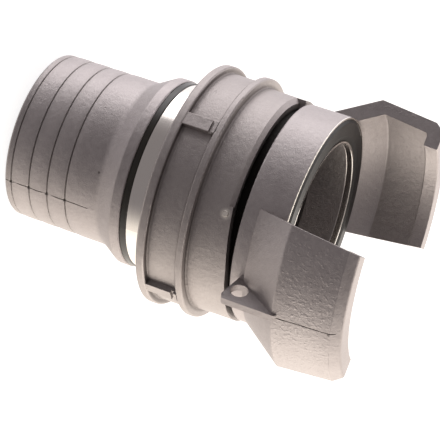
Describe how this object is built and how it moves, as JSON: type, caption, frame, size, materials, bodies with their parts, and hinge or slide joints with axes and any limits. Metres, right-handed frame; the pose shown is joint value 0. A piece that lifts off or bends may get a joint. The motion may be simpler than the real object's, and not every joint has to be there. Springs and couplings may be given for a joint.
{
  "type": "symmetrical quarter turn claw hose coupling",
  "caption": "Symmetrical claw coupling half with barbed hose tail, ramped locking ring, hooked claws and rubber face seal.",
  "frame": {"origin": "centre of the hose tail's end face, which the coupling stands on", "axes": "+Z along the bore from the hose tail towards the claws, +X through the middle of the claw that carries the chain ear"},
  "size_m": [0.1677, 0.1448, 0.2236],
  "materials": {
    "cast_body": "bead-blasted stainless steel casting with turned neck",
    "cast_ring": "bead-blasted stainless steel casting",
    "black_rubber": "smooth black rubber",
    "seal_rubber": "satin black rubber"
  },
  "bodies": {
    "body": {"coupling_body": "cast_body", "stop_ring": "black_rubber", "front_seal": "seal_rubber"},
    "ring": {"locking_ring": "cast_ring"}
  },
  "joints": [
    {"name": "locking_ring_turn", "type": "hinge", "parent": "body", "child": "ring", "pos_m": [0, 0, 0.12], "axis": [0, 0, 1], "range_deg": [0, 90]}
  ]
}
